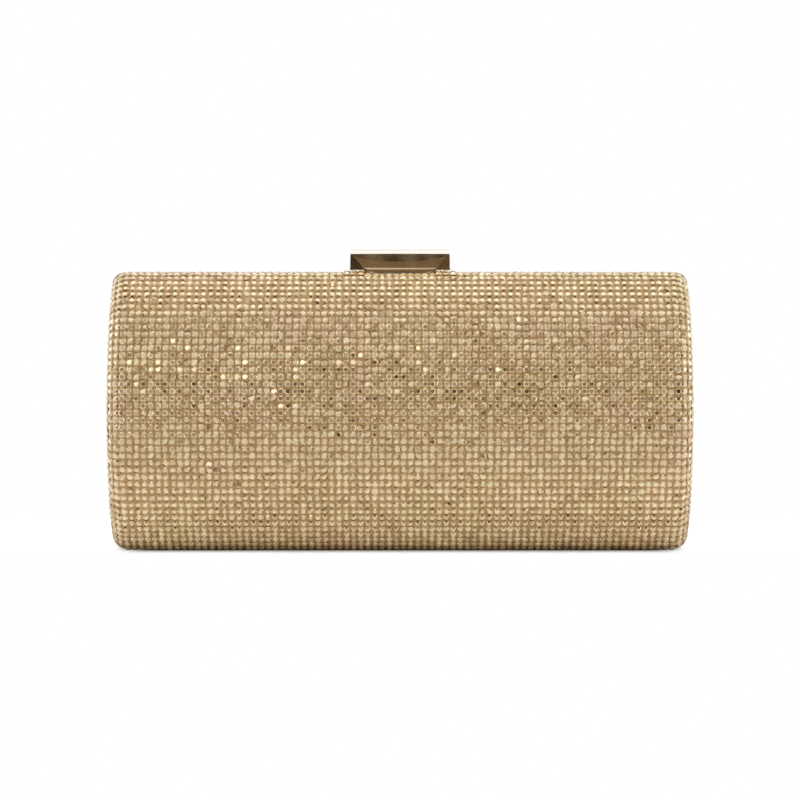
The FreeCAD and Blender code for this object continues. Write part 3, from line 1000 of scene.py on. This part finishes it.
ribbed, shader, add, join = new_finish("ribbed", ribbon_roughness, not_metal)
cloth = add("ShaderNodeAttribute")
cloth.attribute_name = "run"
ribs = add("ShaderNodeTexWave", Scale=rib_scale, Distortion=rib_sway)
ramp = colour_ramp(add, ribbon_dark, ribbon_light)
bump = add("ShaderNodeBump", Strength=rib_strength, Distance=rib_height)
join(cloth.outputs["Vector"], ribs.inputs["Vector"])
join(ribs.outputs["Fac"], ramp.inputs["Fac"])
join(ribs.outputs["Fac"], bump.inputs["Height"])
join(ramp.outputs["Color"], shader.inputs["Base Color"])
join(bump.outputs["Normal"], shader.inputs["Normal"])
dress(ribbon, ribbed)
tell(ribbed)

# %% Thread finish
sewing_roughness = 0.5
sewing_dark = (0.38, 0.27, 0.15)
sewing_light = (0.60, 0.46, 0.28)
twist_scale = 1500.0

thread, shader, add, join = new_finish("thread", sewing_roughness, not_metal)
place = add("ShaderNodeTexCoord")
twist = add("ShaderNodeTexWave", Scale=twist_scale)
twist.bands_direction = "DIAGONAL"
ramp = colour_ramp(add, sewing_dark, sewing_light)
join(place.outputs["Object"], twist.inputs["Vector"])
join(twist.outputs["Fac"], ramp.inputs["Fac"])
join(ramp.outputs["Color"], shader.inputs["Base Color"])
dress(stitches, thread)
tell(thread)

# %% Dress the pieces of the model
slot_finishes = {
    "gold_plate": gold,
    "spring_steel": steel,
    "shell": moulded,
    "lining_card": board,
    "satin": satin,
    "satin_binding": ribbed,
    "crystal_mesh": crystal,
}
for subpart in frame["record"]["subparts"]:
    dress(frame["nodes"][subpart["node"]], slot_finishes[subpart["material_slot"]])

# %% [markdown]
# ## Light
# Polished stones and metal show what stands round them, so most of the light is a room, drawn by direction
# with nodes. Lamps alone would leave the stones black between their highlights. The room is bright overhead
# and behind, brightest at the two sides and dim in front, and it is dark where the camera stands, which puts
# the dark tables in the middle of the case. A lighter strip low in that dark spot and two dark cards beside
# it shade the bar, loose things in front make neighbouring stones differ, and a window behind whitens the
# top of the bar. Dim places are warmer and bright ones a little cooler. A softbox hangs overhead, and a
# small lamp beside the camera makes single stones flash. To the camera the background is plain white.

# %% Tools for the room
world = bpy.data.worlds.new("studio")
bpy.context.scene.world = world
world.use_nodes = True
add, join = node_tools(world.node_tree)
oval_edge = (0.7, 1.2)


# These tools work on the tree that add and join belong to at the time.
def soft_edge(source, edge, first, second):
    """Smooth change from a first to a second level between the two limits of an edge."""
    change = add("ShaderNodeMapRange", From_Min=edge[0], From_Max=edge[1], To_Min=first, To_Max=second)
    change.interpolation_type = "SMOOTHSTEP"
    join(source, change.inputs["Value"])
    return change.outputs["Result"]


def combine(operation, first, second):
    """Result of one operation on two sockets."""
    node = add("ShaderNodeMath")
    node.operation = operation
    join(first, node.inputs[0])
    join(second, node.inputs[1])
    return node.outputs[0]


def size_of(source):
    """A value without its sign."""
    node = add("ShaderNodeMath")
    node.operation = "ABSOLUTE"
    join(source, node.inputs[0])
    return node.outputs[0]


def patch(source, location, scale, inside, outside):
    """Level inside a soft oval of the room and the level outside it."""
    oval = add("ShaderNodeMapping", Location=location, Scale=scale)
    join(source, oval.inputs["Vector"])
    distance = add("ShaderNodeVectorMath")
    distance.operation = "LENGTH"
    join(oval.outputs["Vector"], distance.inputs[0])
    return soft_edge(distance.outputs["Value"], oval_edge, inside, outside)


# %% The walls of the room
room_bright = 0.86
room_side = 1.3
room_dim = 0.67
overhead_edge = (0.50, 0.72)
front_edge = (-0.66, -0.42)
side_edge = (0.76, 0.90)

view = add("ShaderNodeTexCoord").outputs["Generated"]
axes = add("ShaderNodeSeparateXYZ")
join(view, axes.inputs[0])
above = soft_edge(axes.outputs["Z"], overhead_edge, room_dim, room_bright)
beside = soft_edge(axes.outputs["Y"], front_edge, room_dim, room_bright)
sides = soft_edge(size_of(axes.outputs["X"]), side_edge, 0.0, room_side)
room = combine("MAXIMUM", combine("MAXIMUM", above, beside), sides)
print("room levels", room_dim, room_bright, room_side)

# %% What stands in the room
room_dark = 0.1
card_dark = 0.12
strip_level = 0.29
strip_foot = (-0.05, -0.01)
strip_top = (0.08, 0.14)
back_edge = (-0.2, 0.0)
camera_spot = ((0.0, 0.0, -0.4), (20.0, 0.0, 5.0))
card_spots = ((-2.2, 0.0, -0.5), (10.0, 0.0, 5.0))
window_spot = ((0.0, 0.0, -5.2), (12.0, 0.0, 8.0))
room_window = 1.5
clutter_scale = 9.0
clutter_detail = 1.0
clutter_edge = (0.38, 0.62)
clutter_levels = (0.45, 1.4)

strip = combine(
    "MINIMUM",
    soft_edge(axes.outputs["Z"], strip_foot, 0.0, strip_level),
    soft_edge(axes.outputs["Z"], strip_top, strip_level, 0.0),
)
near_camera = combine("MAXIMUM", patch(view, *camera_spot, room_dark, 1.0), strip)
mirrored = add("ShaderNodeVectorMath")
mirrored.operation = "ABSOLUTE"
join(view, mirrored.inputs[0])
cards = patch(mirrored.outputs["Vector"], *card_spots, card_dark, 1.0)
near_camera = combine("MULTIPLY", near_camera, cards)
behind = soft_edge(axes.outputs["Y"], back_edge, 0.0, 1.0)
clutter = add("ShaderNodeTexNoise", Scale=clutter_scale, Detail=clutter_detail)
join(view, clutter.inputs["Vector"])
things = soft_edge(clutter.outputs["Fac"], clutter_edge, *clutter_levels)
room = combine("MULTIPLY", room, combine("MAXIMUM", things, behind))
room = combine("MULTIPLY", room, combine("MAXIMUM", near_camera, behind))
window = patch(view, *window_spot, room_window, 0.0)
room = combine("MAXIMUM", room, combine("MULTIPLY", window, behind))
print("dark spot", room_dark, "cards", card_dark, "window", room_window)

# %% Tones of the room and the white background
white = (1.0, 1.0, 1.0)
dark_tone = (1.0, 0.60, 0.26)
bright_tone = (0.78, 0.92, 1.25)
tone_steps = (
    (0.40, white),
    (0.50, white),
    (0.63, (0.97, 0.99, 1.12)),
    (0.92, (1.0, 1.0, 1.05)),
)

tones = colour_ramp(add, dark_tone, bright_tone)
for position, tone in tone_steps:
    tones.color_ramp.elements.new(position).color = (*tone, 1)
level = add("ShaderNodeMapRange", From_Max=room_window)
join(room, level.inputs["Value"])
join(level.outputs["Result"], tones.inputs["Fac"])
surroundings = world.node_tree.nodes["Background"]
join(tones.outputs["Color"], surroundings.inputs["Color"])
join(room, surroundings.inputs["Strength"])
backdrop = add("ShaderNodeBackground", Color=(*white, 1), Strength=1.0)
path = add("ShaderNodeLightPath")
seen = add("ShaderNodeMixShader")
join(path.outputs["Is Camera Ray"], seen.inputs["Fac"])
join(surroundings.outputs["Background"], seen.inputs[1])
join(backdrop.outputs["Background"], seen.inputs[2])
join(seen.outputs["Shader"], world.node_tree.nodes["World Output"].inputs["Surface"])
print("room of", len(world.node_tree.nodes), "nodes")

# %% The lamps
softbox_size = (1.4, 0.9)
softbox_power = 1.2
softbox_place = Vector((0, -0.35, 1.1))
softbox_tilt = math.radians(-18)
spark_size = (0.18, 0.18)
spark_power = 0.15
spark_place = Vector((-0.22, -1.40, 0.40))


def hang_lamp(name, shape, size, power, place, turn):
    """Area lamp at a place, turned towards the case."""
    lamp_data = bpy.data.lights.new(name, "AREA")
    lamp_data.shape = shape
    lamp_data.size, lamp_data.size_y = size
    lamp_data.energy = power
    lamp = bpy.data.objects.new(name, lamp_data)
    bpy.context.collection.objects.link(lamp)
    lamp.location = place
    lamp.rotation_euler = turn
    print(name, power, "W")


hang_lamp("softbox", "RECTANGLE", softbox_size, softbox_power, softbox_place, (softbox_tilt, 0, 0))
spark_turn = (spark_place - Vector((0, 0, mid_height))).to_track_quat("Z", "Y").to_euler()
hang_lamp("spark", "DISK", spark_size, spark_power, spark_place, spark_turn)

# %% [markdown]
# ## Floor
# The case stands on a white table whose front edge lies a little way in front of it. A table lit by the room
# alone would look grey against the white background, so it glows to the camera. The glow fades close to the
# case, so the floor there is darker: partly its real contact shadow and partly a painted shade where the
# glow is missing. In reflections it glows in a band on each side of the case, which lights the lower rows of
# stones. The hinges are in the base, so the opened front half swings below the table. The table is therefore
# clear to the camera a little way in front of the case, far behind it and from below.

# %% The table top
table_half = 1.5
table_front = -0.42
table_colour = 0.78
table_roughness = 0.8

bm = bmesh.new()
table_place = Matrix.Translation((0, table_front + table_half, 0))
bmesh.ops.create_grid(bm, x_segments=1, y_segments=1, size=table_half, matrix=table_place)
table_mesh = bpy.data.meshes.new("table")
bm.to_mesh(table_mesh)
bm.free()
table = bpy.data.objects.new("table", table_mesh)
bpy.context.collection.objects.link(table)
paper, shader, add, join = new_finish("paper", table_roughness, not_metal)
shader.inputs["Base Color"].default_value = (table_colour, table_colour, table_colour, 1)
shader.inputs["Specular IOR Level"].default_value = 0.0
shader.inputs["Emission Color"].default_value = (*white, 1)
dress(table, paper)
print("table from", table_front, "to", table_front + 2 * table_half)

# %% Glow of the table
camera_glow = 0.6
mirror_glow = 0.27
glow_start = (0.0082, 0.0185)
glow_end = (0.050, 0.12)
painted_contact_shade_edge = (0.008, 0.045)
end_fade = 0.016

place = add("ShaderNodeTexCoord")
axes = add("ShaderNodeSeparateXYZ")
join(place.outputs["Object"], axes.inputs[0])
off_case = size_of(axes.outputs["Y"])
past_end = size_of(axes.outputs["X"])
path = add("ShaderNodeLightPath")
band = combine(
    "MINIMUM",
    soft_edge(off_case, glow_start, 0.0, mirror_glow),
    soft_edge(off_case, glow_end, mirror_glow, 0.0),
)
mirrored = combine("MULTIPLY", band, path.outputs["Is Glossy Ray"])
# No glow to the camera close to the case and up to its ends: a painted shade added to the real contact
# shadow.
open_floor = combine(
    "MAXIMUM",
    soft_edge(off_case, painted_contact_shade_edge, 0.0, camera_glow),
    soft_edge(past_end, (cad_high.x - end_fade, cad_high.x), 0.0, camera_glow),
)
seen = combine("MULTIPLY", open_floor, path.outputs["Is Camera Ray"])
join(combine("ADD", seen, mirrored), shader.inputs["Emission Strength"])
print("glow", camera_glow, "to the camera and", mirror_glow, "in reflections")

# %% Where the table is clear
clear_edge = (-0.036, -0.012)
shadow_edge = (0.12, 0.24)

clear = add("ShaderNodeBsdfTransparent")
beyond = combine(
    "MAXIMUM",
    soft_edge(axes.outputs["Y"], clear_edge, 1.0, 0.0),
    soft_edge(off_case, shadow_edge, 0.0, 1.0),
)
lifted = combine("MULTIPLY", beyond, path.outputs["Is Camera Ray"])
underside = add("ShaderNodeNewGeometry")
see_through = add("ShaderNodeMixShader")
join(combine("MAXIMUM", lifted, underside.outputs["Backfacing"]), see_through.inputs["Fac"])
join(shader.outputs["BSDF"], see_through.inputs[1])
join(clear.outputs["BSDF"], see_through.inputs[2])
join(see_through.outputs["Shader"], paper.node_tree.nodes["Material Output"].inputs["Surface"])
tell(paper)
